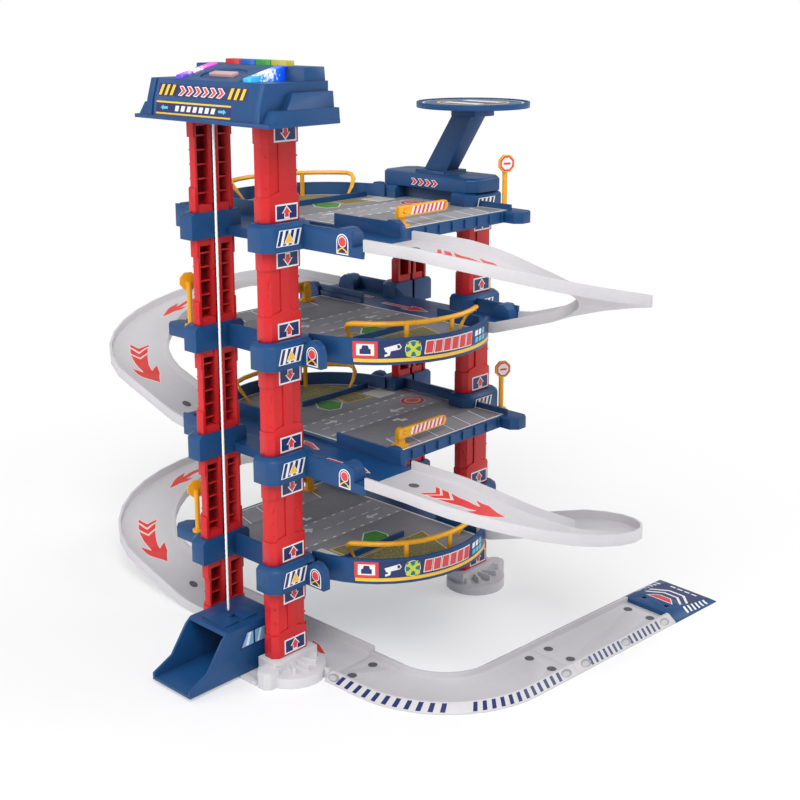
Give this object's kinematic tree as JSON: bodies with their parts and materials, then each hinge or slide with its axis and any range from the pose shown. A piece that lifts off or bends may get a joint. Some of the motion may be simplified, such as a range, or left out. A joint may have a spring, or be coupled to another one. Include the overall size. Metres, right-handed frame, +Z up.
{
  "type": "toy parking garage",
  "caption": "Four-deck toy car park on red columns, with a string-drawn lift, U-turn ramps, round-sided decks, barriers, helipad and ground track.",
  "frame": {"origin": "on the ground at the centre line of the front right column", "axes": "+X from the front columns to the rear columns, +Y from the right columns to the left columns, +Z up"},
  "size_m": [0.4613, 0.5833, 0.5105],
  "materials": {
    "base_grey": "satin",
    "column_red": "gloss",
    "body_blue": "satin gloss",
    "track_grey": "satin",
    "signal_yellow": "gloss",
    "string_white": "twisted thread",
    "lens": "translucent, lit",
    "winch_plastic": "satin",
    "motor_metal": "zinc plated",
    "button_red": "gloss",
    "button_blue": "gloss",
    "button_green": "gloss",
    "button_yellow": "gloss"
  },
  "bodies": {
    "garage": {"base_front": "base_grey", "base_rear": "base_grey", "column_front_right_1": "column_red", "column_front_right_2": "column_red", "column_front_right_3": "column_red", "column_front_right_4": "column_red", "column_front_right_5": "column_red", "column_front_left_1": "column_red", "column_front_left_2": "column_red", "column_front_left_3": "column_red", "column_front_left_4": "column_red", "column_front_left_5": "column_red", "column_rear_right_1": "column_red", "column_rear_right_2": "column_red", "column_rear_right_3": "column_red", "column_rear_right_4": "column_red", "column_rear_left_1": "column_red", "column_rear_left_2": "column_red", "column_rear_left_3": "column_red", "column_rear_left_4": "column_red", "deck_1": "body_blue", "deck_2": "body_blue", "deck_3": "body_blue", "deck_4": "body_blue", "ramp_4_to_3": "track_grey", "ramp_3_to_2": "track_grey", "ramp_2_to_1": "track_grey", "ramp_1_to_ground": "track_grey", "track_curve": "track_grey", "track_straight": "track_grey", "track_end_ramp": "body_blue", "lift_string": "string_white", "sign_1": "signal_yellow", "sign_2": "signal_yellow", "sign_3": "signal_yellow", "sign_4": "signal_yellow", "gate_post_1": "signal_yellow", "gate_post_2": "signal_yellow", "gate_post_3": "signal_yellow", "gate_post_4": "signal_yellow", "guard_rail_1": "signal_yellow", "guard_rail_2": "signal_yellow", "guard_rail_3": "signal_yellow", "guard_rail_4": "signal_yellow", "roof_cover": "body_blue", "roof_plate": "body_blue", "winch_motor": "motor_metal", "light_lens": "lens", "helipad_bridge": "body_blue", "helipad_deck": "body_blue"},
    "lift": {"lift_cab": "body_blue"},
    "winch": {"winch_drum": "winch_plastic"},
    "barrier_1": {"gate_arm_1": "signal_yellow"},
    "barrier_2": {"gate_arm_2": "signal_yellow"},
    "barrier_3": {"gate_arm_3": "signal_yellow"},
    "barrier_4": {"gate_arm_4": "signal_yellow"},
    "red_button": {"button_red": "button_red"},
    "blue_button": {"button_blue": "button_blue"},
    "green_button": {"button_green": "button_green"},
    "yellow_button": {"button_yellow": "button_yellow"}
  },
  "joints": [
    {"name": "lift_slide", "type": "slide", "parent": "garage", "child": "lift", "axis": [0, 0, 1], "range_m": [0, 0.369], "deforming": ["lift_string"]},
    {"name": "winch_spin", "type": "hinge", "parent": "garage", "child": "winch", "pos_m": [-0.02, 0.04275, 0.481], "axis": [0, 1, 0], "range_deg": [0, 2700]},
    {"name": "barrier_1_swing", "type": "hinge", "parent": "garage", "child": "barrier_1", "pos_m": [0.1438, 0.1245, 0.1033], "axis": [0, 1, 0], "range_deg": [0, 85]},
    {"name": "barrier_2_swing", "type": "hinge", "parent": "garage", "child": "barrier_2", "pos_m": [0.098, -0.039, 0.1983], "axis": [0, -1, 0], "range_deg": [0, 85]},
    {"name": "barrier_3_swing", "type": "hinge", "parent": "garage", "child": "barrier_3", "pos_m": [0.1438, 0.1245, 0.2933], "axis": [0, 1, 0], "range_deg": [0, 85]},
    {"name": "barrier_4_swing", "type": "hinge", "parent": "garage", "child": "barrier_4", "pos_m": [0.098, -0.039, 0.3883], "axis": [0, -1, 0], "range_deg": [0, 85]},
    {"name": "press_red", "type": "slide", "parent": "garage", "child": "red_button", "axis": [0, 0, -1], "range_m": [0, 0.0015], "stiffness_N_per_m": 300, "springref_m": -0.002},
    {"name": "press_blue", "type": "slide", "parent": "garage", "child": "blue_button", "axis": [0, 0, -1], "range_m": [0, 0.0015], "stiffness_N_per_m": 300, "springref_m": -0.002},
    {"name": "press_green", "type": "slide", "parent": "garage", "child": "green_button", "axis": [0, 0, -1], "range_m": [0, 0.0015], "stiffness_N_per_m": 300, "springref_m": -0.002},
    {"name": "press_yellow", "type": "slide", "parent": "garage", "child": "yellow_button", "axis": [0, 0, -1], "range_m": [0, 0.0015], "stiffness_N_per_m": 300, "springref_m": -0.002}
  ],
  "couplings": [
    {"joint": "winch_spin", "follows": "lift_slide", "rad_per_m": 121.95}
  ]
}
